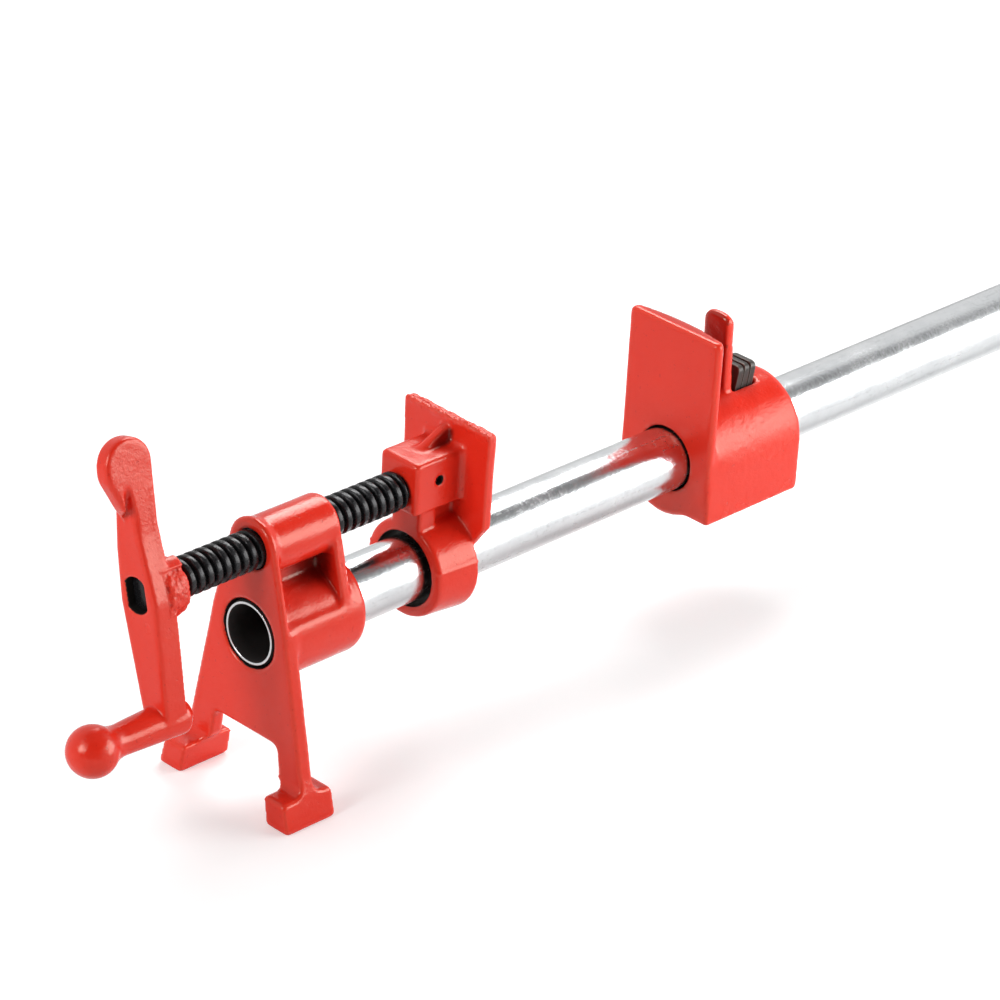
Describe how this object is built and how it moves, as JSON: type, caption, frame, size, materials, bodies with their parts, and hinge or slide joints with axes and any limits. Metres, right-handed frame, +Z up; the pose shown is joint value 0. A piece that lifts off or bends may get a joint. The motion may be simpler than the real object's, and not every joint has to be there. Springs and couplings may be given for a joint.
{
  "type": "pipe clamp",
  "caption": "Woodworking clamp on a straight pipe: footed cast head with a cranked screw and sliding jaw, and a tail stop held along the pipe by leaning clutch plates.",
  "frame": {"origin": "on the floor, under the middle of the clamp's length, in the pipe's upright plane", "axes": "+X along the pipe from the head to the tail stop, +Z up, +Y to the left when looking from the head to the tail"},
  "size_m": [0.7074, 0.0732, 0.1667],
  "materials": {
    "red_enamel": "gloss enamel over cast iron",
    "zinc_steel": "bright galvanised",
    "black_steel": "black oxide, oiled",
    "plate_steel": "dark hardened steel",
    "spring_steel": "plain spring steel"
  },
  "bodies": {
    "head": {"head_casting": "red_enamel", "pipe": "zinc_steel"},
    "sliding_jaw": {"sliding_jaw": "red_enamel", "jaw_pin": "spring_steel"},
    "spindle": {"spindle": "black_steel", "crank_handle": "red_enamel"},
    "tail_stop": {"tail_stop": "red_enamel", "clutch_spring": "spring_steel"},
    "clutch_plate_1": {"clutch_plate_1": "plate_steel"},
    "clutch_plate_2": {"clutch_plate_2": "plate_steel"},
    "clutch_plate_3": {"clutch_plate_3": "plate_steel"}
  },
  "joints": [
    {"name": "jaw_slide", "type": "slide", "parent": "head", "child": "sliding_jaw", "axis": [1, 0, 0], "range_m": [-0.0365, 0.039]},
    {"name": "spindle_turn", "type": "hinge", "parent": "sliding_jaw", "child": "spindle", "pos_m": [-0.175, 0, 0.1055], "axis": [1, 0, 0], "range_deg": [-2980, 3185]},
    {"name": "tail_slide", "type": "slide", "parent": "head", "child": "tail_stop", "axis": [1, 0, 0], "range_m": [-0.084, 0.304]},
    {"name": "clutch_tilt_1", "type": "hinge", "parent": "tail_stop", "child": "clutch_plate_1", "pos_m": [0.00335, 0, 0.0865], "axis": [0, 1, 0], "range_deg": [-11, 0], "stiffness_Nm_per_rad": 0.05, "springref_deg": 20.05},
    {"name": "clutch_tilt_2", "type": "hinge", "parent": "tail_stop", "child": "clutch_plate_2", "pos_m": [0.00692, 0, 0.0865], "axis": [0, 1, 0], "range_deg": [-11, 0], "stiffness_Nm_per_rad": 0.05, "springref_deg": 20.05},
    {"name": "clutch_tilt_3", "type": "hinge", "parent": "tail_stop", "child": "clutch_plate_3", "pos_m": [0.01048, 0, 0.0865], "axis": [0, 1, 0], "range_deg": [-11, 0], "stiffness_Nm_per_rad": 0.05, "springref_deg": 20.05, "deforming": ["clutch_spring"]}
  ],
  "couplings": [
    {"joint": "jaw_slide", "follows": "spindle_turn", "m_per_rad": 0.00070028},
    {"joint": "clutch_tilt_2", "follows": "clutch_tilt_1", "ratio": 1},
    {"joint": "clutch_tilt_3", "follows": "clutch_tilt_1", "ratio": 1}
  ]
}
